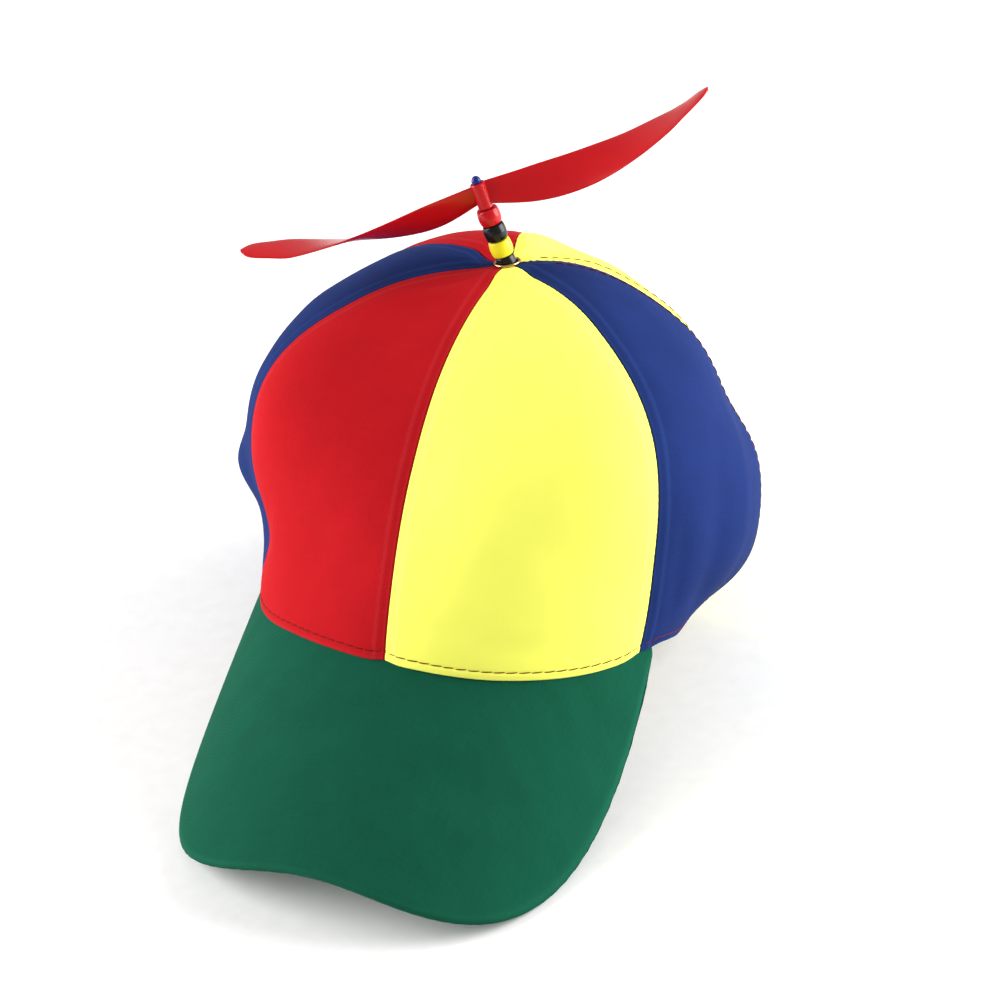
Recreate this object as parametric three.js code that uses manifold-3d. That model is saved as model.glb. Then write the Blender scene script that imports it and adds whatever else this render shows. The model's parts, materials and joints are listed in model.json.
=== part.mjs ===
// A six-panel cotton cap with a bent peak and a two-bladed propeller on a beaded pin.
// Millimetres. In the cap's own frame the hem is at height 0 and the peak points to -Y;
// angles round the crown are in degrees from the front, positive towards +X.
// The cap lies as it would by itself: on the peak's two corners and the back of the hem.
import * as THREE from 'three';
import { mergeVertices } from 'three/addons/utils/BufferGeometryUtils.js';
import Module from 'manifold-3d';

const wasm = await Module();
wasm.setup();

// Crown, measured outside
const crownLength = 201;
const crownWidth = 179;
const crownRise = 106;
const widestHeight = 23;
const topBehindMiddle = 5;
const crownCloth = 1.6;
const frontSeam = 64.5;
const backSeam = 117.5;
const backSeamTurn = 16;
const leftSeamTurn = 11.5;
const seamTurnStart = -14;
const seamTurnEnd = 66;
const seamPull = 0.7;
const seamPullReach = 5;
const hemPressedUp = 2.5;

// Peak
const peakLength = 75.5;
const peakWidth = 175;
const peakBend = 105.5;
const peakDroop = 44.5;
const peakThickness = 3;
const peakRootEnd = 68.5;
const peakCorner = 2.95;
const peakFlare = 30;
const peakEndDepth = 1.5;
const archLimit = 0.97;
const peakSkew = 1.5;
const hemFall = 14;

// Pin, beads and eyelet
const pinDiameter = 3;
const pinHeadDiameter = 3.8;
const pinHeadHeight = 2.6;
const pinHeadEdge = 0.3;
const pinFootDiameter = 12;
const pinFootThickness = 2;
const pinFootDrop = 1.7;
const pinLeanSide = 15.7;
const pinLeanForward = 16;
const beadDiameter = 8.8;
const beadFaceDiameter = 6.6;
const beadHeight = 6.4;
const beadSquareness = 0.65;
const lowBeadDiameter = 7.6;
const lowBeadFaceDiameter = 5.6;
const lowBeadProud = 3.8;
const eyeletPlay = 0.5;
const eyeletWall = 0.6;
const eyeletProud = 1.2;
const eyeletFlangeWidth = 2.2;
const eyeletFlangeThickness = 0.8;
const eyeletLeanSide = 6;
const eyeletLeanForward = 8.5;
const flatTopRadius = 7.5;
const flatTopEnd = 17;

// Propeller
const bladeLength = 93;
const bladeWidth = 21;
const bladeThickness = 1.5;
const bladeEdge = 0.7;
const bladeTurn = 24.7;
const hubDiameter = 5.8;
const hubHeight = 10.3;
const bladeAboveHubBottom = 6.1;

// Clearances
const touch = 0.3;
const runningFit = 0.3;
const overcut = 1;

// How full the crown is: rows go round it, columns up it, each a share of the plain oval dome
const fullness = [
  { around: -180, hem: 0.92, belly: 0.98, middle: 1.0, shoulder: 1.07, top: 1.085 },
  { around: -150, hem: 0.95, belly: 1.07, middle: 1.04, shoulder: 1.12, top: 1.085 },
  { around: -120, hem: 0.96, belly: 1.2, middle: 1.18, shoulder: 1.16, top: 1.07 },
  { around: -90, hem: 0.99, belly: 1.195, middle: 1.23, shoulder: 1.13, top: 1.035 },
  { around: -60, hem: 1.04, belly: 1.015, middle: 1.13, shoulder: 1.055, top: 1.0 },
  { around: -30, hem: 1.02, belly: 0.88, middle: 0.93, shoulder: 0.94, top: 0.975 },
  { around: 0, hem: 1.0, belly: 0.89, middle: 0.87, shoulder: 0.915, top: 0.965 },
  { around: 30, hem: 1.01, belly: 0.96, middle: 1.0, shoulder: 0.99, top: 0.98 },
  { around: 60, hem: 1.0, belly: 1.045, middle: 1.165, shoulder: 1.085, top: 1.005 },
  { around: 90, hem: 0.93, belly: 1.115, middle: 1.17, shoulder: 1.095, top: 1.04 },
  { around: 120, hem: 0.86, belly: 1.115, middle: 1.105, shoulder: 1.08, top: 1.04 },
  { around: 150, hem: 0.86, belly: 1.035, middle: 1.015, shoulder: 1.08, top: 1.025 },
];
const riseAngles = { hem: -20, belly: 5, middle: 30, shoulder: 55, top: 78 };

// Soft dents and bulges: where, how wide and how tall in degrees, how deep as a share of the dome
const folds = [
  { around: -80, rise: 8, wide: 8, tall: 5, depth: 0.056 },
  { around: -70, rise: 3, wide: 14, tall: 8, depth: -0.015 },
  { around: -68, rise: 0, wide: 13, tall: 8, depth: -0.064 },
  { around: -95, rise: 30, wide: 16, tall: 8, depth: -0.016 },
  { around: 93, rise: -13, wide: 15, tall: 10, depth: -0.056 },
  { around: 113, rise: -5, wide: 16, tall: 8, depth: 0.041 },
  { around: 85, rise: 7, wide: 13, tall: 8, depth: 0.012 },
  { around: 109, rise: 29, wide: 18, tall: 9, depth: -0.034 },
  { around: 132, rise: 58, wide: 14, tall: 9, depth: -0.014 },
];

// Blade sections from the hub to the tip, as shares of its length, its half width and in degrees
const bladeSections = [
  { out: 0.0, width: 0.4, twist: 72, rise: 0.0, sweep: 0.0 },
  { out: 0.2, width: 0.64, twist: 64, rise: -0.03, sweep: -0.004 },
  { out: 0.4, width: 0.79, twist: 41, rise: -0.035, sweep: -0.012 },
  { out: 0.6, width: 0.93, twist: 18, rise: -0.014, sweep: -0.014 },
  { out: 0.8, width: 1.0, twist: 1.5, rise: 0.031, sweep: 0.0 },
  { out: 0.9, width: 0.74, twist: -3, rise: 0.064, sweep: 0.013 },
  { out: 0.95, width: 0.57, twist: -4, rise: 0.083, sweep: 0.024 },
  { out: 0.98, width: 0.38, twist: -4.6, rise: 0.094, sweep: 0.031 },
  { out: 1.0, width: 0.08, twist: -5, rise: 0.102, sweep: 0.035 },
];

const red = 0xd2141b;
const yellow = 0xfdfb55;
const blue = 0x28418f;
const green = 0x186a48;
const black = 0x1b1b1c;
const pinBlue = 0x27307c;
const brass = 0xb59a62;

// The seams in order round the crown, by their angles at the hem and at the top. The soft crown
// leans, so two of the back seams turn a little to the left on their way up
const seams = [
  { hem: 0, top: 0 },
  { hem: frontSeam, top: frontSeam },
  { hem: backSeam, top: backSeam },
  { hem: 180, top: 180 + backSeamTurn },
  { hem: 360 - backSeam, top: 360 - backSeam + leftSeamTurn },
  { hem: 360 - frontSeam, top: 360 - frontSeam },
  { hem: 360, top: 360 },
];

// The panels between them
const panels = [
  { node: 'panel_front_yellow', colour: yellow },
  { node: 'panel_side_blue_right', colour: blue },
  { node: 'panel_back_yellow', colour: yellow },
  { node: 'panel_back_red', colour: red },
  { node: 'panel_side_blue_left', colour: blue },
  { node: 'panel_front_red', colour: red },
];

// Facets
const panelColumns = 12;
const panelRows = 22;
const rowCrowding = 1.5;
const peakColumns = 26;
const peakRows = 7;
const bladeColumns = 4;
const bladeRows = 22;
const beadSides = 16;
const beadBands = 8;
const eyeletSides = 24;
const rollBands = 4;
const pinSides = 12;
const headBands = 5;
const hubSides = 16;
const mergeWithin = 1e-4;

const rad = THREE.MathUtils.degToRad;
const clamp = THREE.MathUtils.clamp;
const smooth = THREE.MathUtils.smoothstep;
const sinOf = (degrees) => Math.sin(rad(degrees));
const cosOf = (degrees) => Math.cos(rad(degrees));
const turnBetween = (a, b) => THREE.MathUtils.euclideanModulo(a - b + 180, 360) - 180;
const apart = (a, b) => Math.abs(turnBetween(a, b));
const seamAngle = ({ hem, top }, rise) => hem + (top - hem) * smooth(rise, seamTurnStart, seamTurnEnd);

// A smooth value through stations, with each slope taken from the stations beside it
function through(at, places, values, endSlope) {
  const last = places.length - 1;
  let i = 0;
  while (i < last - 1 && at > places[i + 1]) i += 1;
  const slope = (j) => {
    if (j === last && endSlope !== undefined) return endSlope;
    const before = Math.max(j - 1, 0);
    const after = Math.min(j + 1, last);
    return (values[after] - values[before]) / (places[after] - places[before]);
  };
  const span = places[i + 1] - places[i];
  const t = (at - places[i]) / span;
  const rest = (1 - t) * (1 - t);
  return values[i] * (1 + 2 * t) * rest + slope(i) * span * t * rest
    + values[i + 1] * t * t * (3 - 2 * t) + slope(i + 1) * span * t * t * (t - 1);
}

// The rows of a table that goes round the crown, repeated so that it has no ends
const ringStep = 360 / fullness.length;
function roundRing(around, column) {
  const turn = THREE.MathUtils.euclideanModulo(around - fullness[0].around, 360) / ringStep;
  const first = Math.floor(turn);
  const beside = [-1, 0, 1, 2];
  const rows = beside.map((k) => fullness[(first + k + fullness.length) % fullness.length]);
  return through(turn - first, beside, rows.map((row) => row[column]));
}

const levels = Object.keys(riseAngles);
const levelAngles = [...levels.map((name) => riseAngles[name]), 90];
function share(around, rise) {
  const values = [...levels.map((name) => roundRing(around, name)), 1];
  let sum = through(rise, levelAngles, values, 0);
  for (const fold of folds) {
    const a = turnBetween(around, fold.around) / fold.wide;
    const b = (rise - fold.rise) / fold.tall;
    sum += fold.depth * Math.exp(-a * a - b * b);
  }
  return sum;
}

// The pin leans more than the eyelet; the cloth round the eyelet lies square to the eyelet
const leaning = (side, forward) => new THREE.Vector3(-Math.tan(rad(side)), -Math.tan(rad(forward)), 1);
const pinDirection = leaning(pinLeanSide, pinLeanForward).normalize();
const eyeletLean = leaning(eyeletLeanSide, eyeletLeanForward);
const apex = new THREE.Vector3(0, topBehindMiddle, widestHeight + crownRise);

// A point on the outside of the crown, by angle round it and angle up the dome
function domePoint(around, rise) {
  const k = share(around, rise);
  const flat = k * cosOf(rise);
  const back = topBehindMiddle * Math.max(sinOf(rise), 0) ** 2;
  const point = new THREE.Vector3(
    crownWidth / 2 * flat * sinOf(around),
    -crownLength / 2 * flat * cosOf(around) + back,
    widestHeight + crownRise * k * sinOf(rise),
  );
  const dx = point.x - apex.x;
  const dy = point.y - apex.y;
  const plane = apex.z - eyeletLean.x * dx - eyeletLean.y * dy;
  const reach = Math.hypot(dx, dy);
  const hold = rise > 0 ? 1 - smooth(reach, flatTopRadius, flatTopEnd) : 0;
  point.z += (plane - point.z) * hold;
  return point;
}

// The peak is a sheet bent across and drooping forward; this is its top face
function arch(x) {
  const q = Math.min(Math.abs(x) / peakBend, archLimit);
  return -peakBend * (1 - Math.sqrt(1 - q * q));
}
const rootX = crownWidth / 2 * sinOf(peakRootEnd);
const rootY = -crownLength / 2 * cosOf(peakRootEnd);
const peakReach = crownLength / 2 + rootY + peakLength * cosOf(peakDroop);
const peakMiddle = (y) => peakSkew * clamp((rootY - y) / peakReach, 0, 1);
function peakHeight(x, y) {
  const across = arch(x - peakMiddle(y)) - arch(rootX);
  return across / cosOf(peakDroop) + (y - rootY) * Math.tan(rad(peakDroop));
}

// The cloth's outer skin, drawn in a little at each seam, and the skins below it by depth
function domeNormal(around, rise) {
  const step = 0.4;
  const east = domePoint(around + step, rise).sub(domePoint(around - step, rise));
  const north = domePoint(around, rise + step).sub(domePoint(around, rise - step));
  return east.cross(north).normalize();
}
function skinPoint(around, rise, depth) {
  const point = domePoint(around, rise);
  const reach = Math.hypot(point.x - apex.x, point.y - apex.y);
  const off = Math.min(...seams.map((seam) => apart(around, seamAngle(seam, rise))));
  const away = rad(off) * reach;
  const fade = smooth(reach, flatTopRadius, flatTopEnd);
  const pull = seamPull * Math.exp(-((away / seamPullReach) ** 2)) * fade;
  return point.addScaledVector(domeNormal(around, rise), -pull - depth);
}

// The angle up the dome at which a skin of the crown reaches a height, near the hem
const lowestRise = -50;
const highestRise = 60;
const riseTries = 12;
function riseAt(around, depth, heightOf) {
  let rise = riseAngles.hem;
  for (let i = 0; i < riseTries; i += 1) {
    const point = skinPoint(around, rise, depth);
    const short = heightOf(point) - point.z;
    rise = clamp(rise + THREE.MathUtils.radToDeg(short / crownRise), lowestRise, highestRise);
  }
  return rise;
}

// How far back the cap tips until the peak's corners and the back of the hem are level
const backContact = skinPoint(180, riseAt(180, 0, () => hemPressedUp), 0);
const steepestTip = Math.PI / 3;
const tipTries = 50;
function tipOfCap(peakPoints) {
  const heightAt = (point, tip) => point.z * Math.cos(tip) - point.y * Math.sin(tip);
  let low = 0;
  let high = steepestTip;
  for (let i = 0; i < tipTries; i += 1) {
    const tip = (low + high) / 2;
    const lowest = Math.min(...peakPoints.map((point) => heightAt(point, tip)));
    if (lowest < heightAt(backContact, tip)) low = tip;
    else high = tip;
  }
  return (low + high) / 2;
}

// A closed body between two grids of points that lie over each other
function bodyBetween(front, back) {
  const rows = front.length;
  const columns = front[0].length;
  const points = [...front.flat(), ...back.flat()];
  const right = columns - 1;
  const at = (i, j, side) => side * rows * columns + i * columns + j;
  const faces = [];
  const quad = (a, b, c, d) => faces.push(a, b, c, a, c, d);
  for (let i = 0; i < rows - 1; i += 1) {
    for (let j = 0; j < right; j += 1) {
      quad(at(i, j, 0), at(i, j + 1, 0), at(i + 1, j + 1, 0), at(i + 1, j, 0));
      quad(at(i, j, 1), at(i + 1, j, 1), at(i + 1, j + 1, 1), at(i, j + 1, 1));
    }
    quad(at(i, 0, 0), at(i + 1, 0, 0), at(i + 1, 0, 1), at(i, 0, 1));
    quad(at(i + 1, right, 0), at(i, right, 0), at(i, right, 1), at(i + 1, right, 1));
  }
  for (let j = 0; j < right; j += 1) {
    quad(at(0, j + 1, 0), at(0, j, 0), at(0, j, 1), at(0, j + 1, 1));
    quad(at(rows - 1, j, 0), at(rows - 1, j + 1, 0), at(rows - 1, j + 1, 1), at(rows - 1, j, 1));
  }
  const geometry = new THREE.BufferGeometry().setFromPoints(points);
  geometry.setIndex(faces);
  return facingOut(geometry);
}

// Shared corners are merged, and the faces are turned to point outward
function facingOut(geometry) {
  geometry.deleteAttribute('normal');
  geometry.deleteAttribute('uv');
  const merged = mergeVertices(geometry, mergeWithin);
  const place = merged.getAttribute('position');
  const index = merged.getIndex().array;
  const corner = (i) => new THREE.Vector3().fromBufferAttribute(place, index[i]);
  let volume = 0;
  for (let i = 0; i < index.length; i += 3) {
    volume += corner(i).dot(corner(i + 1).cross(corner(i + 2)));
  }
  if (volume < 0) {
    for (let i = 0; i < index.length; i += 3) [index[i], index[i + 1]] = [index[i + 1], index[i]];
  }
  merged.computeVertexNormals();
  return merged;
}

const meshOf = (name, geometry, material) => Object.assign(new THREE.Mesh(geometry, material), { name });
const cotton = (color) => new THREE.MeshStandardMaterial({ color, roughness: 0.9 });
const moulded = (color) => new THREE.MeshStandardMaterial({ color, roughness: 0.25 });

// The peak: root under the front panels' hem, outer edge a squared-off oval
const peakSide = peakRootEnd + 1;
const hemPoint = (around, depth) => {
  const rise = riseAt(around, depth, (point) => peakHeight(point.x, point.y));
  return skinPoint(around, rise, depth);
};
function peakEdge(t) {
  const across = -Math.sign(Math.cos(t)) * Math.abs(Math.cos(t)) ** (2 / peakCorner);
  const forward = peakReach * Math.sin(t) ** (2 / peakCorner);
  const half = peakWidth / 2 + (rootX - peakWidth / 2) * Math.exp(-forward / peakFlare);
  const y = rootY - forward;
  return new THREE.Vector2(peakMiddle(y) + across * half, y);
}
const endAngle = Math.asin((peakEndDepth / peakReach) ** (peakCorner / 2));
function peakTop(across, out) {
  const root = hemPoint(THREE.MathUtils.lerp(-peakRootEnd, peakRootEnd, across), crownCloth);
  const edge = peakEdge(THREE.MathUtils.lerp(endAngle, Math.PI - endAngle, across));
  const plan = new THREE.Vector2(root.x, root.y).lerp(edge, out);
  return new THREE.Vector3(plan.x, plan.y, peakHeight(plan.x, plan.y));
}

function gridOf(rows, columns, pointAt) {
  const ticks = (count) => Array.from({ length: count + 1 }, (_, i) => i / count);
  return ticks(rows).map((v) => ticks(columns).map((u) => pointAt(u, v)));
}

function peakNormal({ x, y }) {
  const step = 0.5;
  const slopeX = (peakHeight(x + step, y) - peakHeight(x - step, y)) / (2 * step);
  const slopeY = (peakHeight(x, y + step) - peakHeight(x, y - step)) / (2 * step);
  return new THREE.Vector3(-slopeX, -slopeY, 1).normalize();
}

const peakUpper = gridOf(peakRows, peakColumns, peakTop);
const peakLower = peakUpper.map((row) => row.map(
  (point) => point.clone().addScaledVector(peakNormal(point), -peakThickness),
));
const tip = tipOfCap(peakLower.flat());

// The hem lies on the peak in front, level at the sides, and on the floor at the back
function hemHeight(around, depth) {
  const lift = touch / cosOf(peakDroop);
  const off = apart(around, 0);
  if (off <= peakSide) return (point) => peakHeight(point.x, point.y) + lift;
  if (off > 90) return (point) => Math.max(0, hemPressedUp + (point.y - backContact.y) * Math.tan(tip));
  const side = hemPoint(Math.sign(turnBetween(around, 0)) * peakSide, depth);
  const level = (side.z + lift) * (1 - smooth(off, peakSide, peakSide + hemFall));
  return () => level;
}

const eyeletInner = lowBeadDiameter / 2 + eyeletPlay;
const eyeletOuter = eyeletInner + eyeletWall;
const topHole = eyeletOuter + touch;

function holeRise(around) {
  const x = crownWidth / 2 * sinOf(around);
  const y = -crownLength / 2 * cosOf(around);
  const run = Math.hypot(x, y);
  const slope = (eyeletLean.x * x + eyeletLean.y * y) / run;
  const reach = topHole / Math.hypot(1, slope);
  return THREE.MathUtils.radToDeg(Math.acos(reach / run));
}

// One skin of a panel: u runs from seam to seam, v from the hem to the eyelet, where rows crowd
function panelSkin(from, to, depth) {
  return gridOf(panelRows, panelColumns, (u, v) => {
    const start = THREE.MathUtils.lerp(from.hem, to.hem, u);
    const hem = riseAt(start, depth, hemHeight(start, depth));
    const hole = holeRise(THREE.MathUtils.lerp(from.top, to.top, u));
    const rise = THREE.MathUtils.lerp(hem, hole, 1 - (1 - v) ** rowCrowding);
    const left = seamAngle(from, rise);
    const right = seamAngle(to, rise);
    const around = THREE.MathUtils.lerp(left, right, u);
    const reach = domePoint(around, rise).sub(apex).setZ(0).length();
    const gap = THREE.MathUtils.radToDeg(touch / 2 / reach);
    return skinPoint(clamp(around, left + gap, right - gap), rise, depth);
  });
}
const panel = (from, to) => bodyBetween(panelSkin(from, to, 0), panelSkin(from, to, crownCloth));

// Round pieces on the pin are turned from a profile of radius and height
function turned(profile, sides) {
  const points = profile.map(([radius, height]) => new THREE.Vector2(radius, height));
  return facingOut(new THREE.LatheGeometry(points, sides).rotateX(Math.PI / 2));
}

function bead(middle, wide, face) {
  const bore = pinDiameter / 2 + runningFit;
  const profile = [];
  for (let i = 0; i <= beadBands; i += 1) {
    const turn = (i / beadBands - 0.5) * Math.PI;
    const round = Math.max(Math.cos(turn), 0) ** beadSquareness;
    const radius = (face + (wide - face) * round) / 2;
    profile.push([radius, middle + beadHeight / 2 * Math.sin(turn)]);
  }
  profile.push([bore, middle + beadHeight / 2], [bore, middle - beadHeight / 2], profile[0]);
  return turned(profile, beadSides);
}

function eyelet() {
  const seat = -crownCloth - touch;
  const foot = seat - eyeletFlangeThickness;
  const middle = (eyeletInner + eyeletOuter) / 2;
  const roll = eyeletWall / 2;
  const profile = [
    [eyeletInner, foot], [eyeletOuter + eyeletFlangeWidth, foot],
    [eyeletOuter + eyeletFlangeWidth, seat], [eyeletOuter, seat],
  ];
  for (let i = 0; i <= rollBands; i += 1) {
    const turn = i / rollBands * Math.PI;
    profile.push([middle + roll * Math.cos(turn), eyeletProud - roll + roll * Math.sin(turn)]);
  }
  profile.push([eyeletInner, foot]);
  return turned(profile, eyeletSides);
}

// Heights along the pin, from the cloth's outside
const beadPitch = beadHeight + touch;
const lowBeadMiddle = lowBeadProud - beadHeight / 2;
const hubBottom = lowBeadMiddle + 3 * beadPitch + beadHeight / 2 + touch;
const hubTop = hubBottom + hubHeight;
const footTop = lowBeadMiddle - beadHeight / 2 - touch - pinFootDrop;

function pin() {
  const foot = footTop - pinFootThickness;
  const headBase = hubTop + touch;
  const crownOfHead = pinHeadHeight - pinHeadEdge;
  const profile = [
    [0, foot], [pinFootDiameter / 2, foot], [pinFootDiameter / 2, footTop],
    [pinDiameter / 2, footTop], [pinDiameter / 2, headBase], [pinHeadDiameter / 2, headBase],
  ];
  for (let i = 0; i < headBands; i += 1) {
    const turn = i / headBands * Math.PI / 2;
    const height = headBase + pinHeadEdge + crownOfHead * Math.sin(turn);
    profile.push([pinHeadDiameter / 2 * Math.cos(turn), height]);
  }
  profile.push([0, headBase + pinHeadHeight]);
  return turned(profile, pinSides);
}

function solidOf(geometry) {
  const vertProperties = geometry.getAttribute('position').array;
  const triVerts = new Uint32Array(geometry.getIndex().array);
  return new wasm.Manifold(new wasm.Mesh({ numProp: 3, vertProperties, triVerts }));
}
function geometryOf(solid) {
  const mesh = solid.getMesh();
  const geometry = new THREE.BufferGeometry();
  geometry.setAttribute('position', new THREE.BufferAttribute(mesh.vertProperties, 3));
  geometry.setIndex(new THREE.BufferAttribute(mesh.triVerts, 1));
  return facingOut(geometry);
}

// One blade, along +X from the pin's axis: a twisted strip, thick along its middle
function blade(hubMiddle) {
  const outs = bladeSections.map((row) => row.out);
  const column = (name, at) => through(at, outs, bladeSections.map((row) => row[name]));
  const face = (side) => gridOf(bladeRows, bladeColumns, (u, v) => {
    const across = 2 * u - 1;
    const twist = column('twist', v);
    const wide = across * bladeWidth / 2 * column('width', v);
    const thick = side / 2 * (bladeEdge + (bladeThickness - bladeEdge) * (1 - across * across));
    const y = bladeLength * column('sweep', v) + wide * cosOf(twist) - thick * sinOf(twist);
    const z = bladeLength * column('rise', v) + wide * sinOf(twist) + thick * cosOf(twist);
    return new THREE.Vector3(bladeLength * v, y, hubMiddle + z);
  });
  return bodyBetween(face(1), face(-1));
}

function propeller() {
  const middle = hubBottom + bladeAboveHubBottom;
  const bore = pinDiameter / 2 + runningFit;
  const tube = (radius, low, high) => turned(
    [[0, low], [radius, low], [radius, high], [0, high]],
    hubSides,
  );
  const hub = tube(hubDiameter / 2, hubBottom, hubTop);
  const hole = tube(bore, hubBottom - overcut, hubTop + overcut);
  const one = blade(middle);
  const other = one.clone().rotateZ(Math.PI);
  const body = solidOf(hub).add(solidOf(one)).add(solidOf(other)).subtract(solidOf(hole));
  return geometryOf(body);
}

const cap = new THREE.Group();
panels.forEach((row, i) => {
  cap.add(meshOf(row.node, panel(seams[i], seams[i + 1]), cotton(row.colour)));
});
cap.add(meshOf('peak', bodyBetween(peakUpper, peakLower), cotton(green)));

// A group at the top of the crown whose own Z axis points this way
function groupAlong(direction) {
  const group = new THREE.Group();
  group.position.copy(apex);
  group.quaternion.setFromUnitVectors(new THREE.Vector3(0, 0, 1), direction);
  cap.add(group);
  return group;
}
const metal = new THREE.MeshStandardMaterial({ color: brass, metalness: 1, roughness: 0.3 });
groupAlong(eyeletLean.clone().normalize()).add(meshOf('eyelet', eyelet(), metal));
const pinGroup = groupAlong(pinDirection);
pinGroup.add(meshOf('pin', pin(), moulded(pinBlue)));
const beads = [
  { node: 'bead_black_lower', colour: black, wide: lowBeadDiameter, face: lowBeadFaceDiameter },
  { node: 'bead_yellow', colour: yellow, wide: beadDiameter, face: beadFaceDiameter },
  { node: 'bead_black_upper', colour: black, wide: beadDiameter, face: beadFaceDiameter },
  { node: 'bead_red', colour: red, wide: beadDiameter, face: beadFaceDiameter },
];
beads.forEach((row, i) => {
  const middle = lowBeadMiddle + i * beadPitch;
  pinGroup.add(meshOf(row.node, bead(middle, row.wide, row.face), moulded(row.colour)));
});
const propellerMesh = meshOf('propeller', propeller(), moulded(red));
propellerMesh.rotation.z = rad(bladeTurn);
pinGroup.add(propellerMesh);

// The cap tips back until it rests, with the floor at height 0 and the origin under its middle
cap.rotation.x = -tip;
const model = new THREE.Group();
model.add(cap);
model.updateMatrixWorld(true);
const box = new THREE.Box3().setFromObject(model, true);
cap.position.set(-(box.min.x + box.max.x) / 2, -(box.min.y + box.max.y) / 2, -box.min.z);
model.updateMatrixWorld(true);

export default model;
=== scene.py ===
# A six-panel cotton cap with a bent green peak and a red propeller on a beaded pin.
# Lengths are in millimetres until a point is placed in the world, which is in metres.
import json
import math

import bmesh
import bpy
import numpy as np
from mathutils import Matrix, Vector


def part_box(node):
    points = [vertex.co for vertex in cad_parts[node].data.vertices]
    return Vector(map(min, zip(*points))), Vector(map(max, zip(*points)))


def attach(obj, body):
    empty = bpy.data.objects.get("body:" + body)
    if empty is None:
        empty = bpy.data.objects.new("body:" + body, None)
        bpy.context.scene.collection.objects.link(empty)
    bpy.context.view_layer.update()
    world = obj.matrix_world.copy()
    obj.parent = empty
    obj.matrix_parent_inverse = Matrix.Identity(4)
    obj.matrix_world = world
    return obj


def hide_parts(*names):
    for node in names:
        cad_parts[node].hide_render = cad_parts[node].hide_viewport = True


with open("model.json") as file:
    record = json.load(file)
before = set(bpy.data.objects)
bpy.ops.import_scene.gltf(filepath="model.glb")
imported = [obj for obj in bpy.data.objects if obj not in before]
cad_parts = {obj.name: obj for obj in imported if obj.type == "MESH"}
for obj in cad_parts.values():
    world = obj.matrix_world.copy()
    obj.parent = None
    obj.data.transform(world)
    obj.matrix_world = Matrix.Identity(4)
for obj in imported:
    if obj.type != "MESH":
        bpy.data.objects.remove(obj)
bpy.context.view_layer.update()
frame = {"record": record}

mm = 0.001


# The photographer's camera looks down on the cap from its right front, a little rolled.
# A long lens about a metre away keeps the shapes nearly flat.
view_azimuth = 29.78
view_elevation = 35.83
view_roll = 8.71
view_distance = 1079.6
view_aim = (12.0, 27.5, 71.6)
view_lens = 101.3
sensor_width = 36.0

turn, tilt, roll = (math.radians(angle) for angle in (view_azimuth, view_elevation, view_roll))
toward = Vector((math.sin(turn) * math.cos(tilt), -math.cos(turn) * math.cos(tilt), math.sin(tilt)))
level_right = Vector((math.cos(turn), math.sin(turn), 0.0))
level_up = toward.cross(level_right)
right = level_right * math.cos(roll) - level_up * math.sin(roll)
up = level_right * math.sin(roll) + level_up * math.cos(roll)
camera = bpy.data.objects.new("camera", bpy.data.cameras.new("camera"))
bpy.context.scene.collection.objects.link(camera)
camera.data.lens = view_lens
camera.data.sensor_width = sensor_width
camera.data.clip_end = 20.0
camera.matrix_world = Matrix.Translation((Vector(view_aim) + toward * view_distance) * mm) @ Matrix(
    (right, up, toward)
).transposed().to_4x4()
bpy.context.scene.camera = camera


# The studio: white paper on a table in a white room, and a large soft light low down at each
# side. The middle of the cap faces neither light, so it is the darkest.
paper_white = "F4F4F2"
paper_size = 6.0
room_light = 0.37
soft_lights = [
    {"name": "light_left", "turn": -69, "tilt": 22, "far": 1.3, "size": 1.2, "watts": 27},
    {"name": "light_right", "turn": 120, "tilt": 18, "far": 1.3, "size": 1.2, "watts": 38},
]


def linear(code):
    """The linear colour of an sRGB hex value."""
    shares = [int(code[i : i + 2], 16) / 255 for i in (0, 2, 4)]
    return [c / 12.92 if c <= 0.04045 else ((c + 0.055) / 1.055) ** 2.4 for c in shares] + [1.0]


def add(tree, kind, inputs=None, **settings):
    """Adds one node. Each input is a value, or the socket that feeds it."""
    new = tree.nodes.new(kind)
    for name, value in settings.items():
        setattr(new, name, value)
    for name, value in (inputs or {}).items():
        if isinstance(value, bpy.types.NodeSocket):
            tree.links.new(value, new.inputs[name])
        else:
            new.inputs[name].default_value = value
    return new


def finish_of(name, **constants):
    """A material, its node tree and its shader with these values set on the shader itself."""
    material = bpy.data.materials.new(name)
    material.use_nodes = True
    shader = material.node_tree.nodes["Principled BSDF"]
    for socket, value in constants.items():
        shader.inputs[socket.replace("_", " ")].default_value = value
    return material, material.node_tree, shader


def link_object(name, mesh):
    """Puts a mesh in the scene as an object."""
    piece = bpy.data.objects.new(name, mesh)
    bpy.context.scene.collection.objects.link(piece)
    return piece


paper, paper_tree, paper_shader = finish_of("matt_white_paper", Roughness=0.95)
paper_grain = add(paper_tree, "ShaderNodeTexNoise", {"Scale": 900.0, "Detail": 2.0})
paper_tint = add(
    paper_tree,
    "ShaderNodeMix",
    {"Factor": paper_grain.outputs["Fac"], 6: linear(paper_white), 7: linear("FFFFFF")},
    data_type="RGBA",
)
paper_tree.links.new(paper_tint.outputs[2], paper_shader.inputs["Base Color"])
half = paper_size / 2
paper_mesh = bpy.data.meshes.new("paper")
corners = [(-half, -half, 0), (half, -half, 0), (half, half, 0), (-half, half, 0)]
paper_mesh.from_pydata(corners, [], [(0, 1, 2, 3)])
paper_mesh.materials.append(paper)
link_object("paper", paper_mesh)

world = bpy.data.worlds.new("white_room")
world.use_nodes = True
world.node_tree.nodes["Background"].inputs["Color"].default_value = (1.0, 1.0, 1.0, 1.0)
world.node_tree.nodes["Background"].inputs["Strength"].default_value = room_light
bpy.context.scene.world = world
bpy.context.scene.view_settings.view_transform = "Standard"

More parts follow.
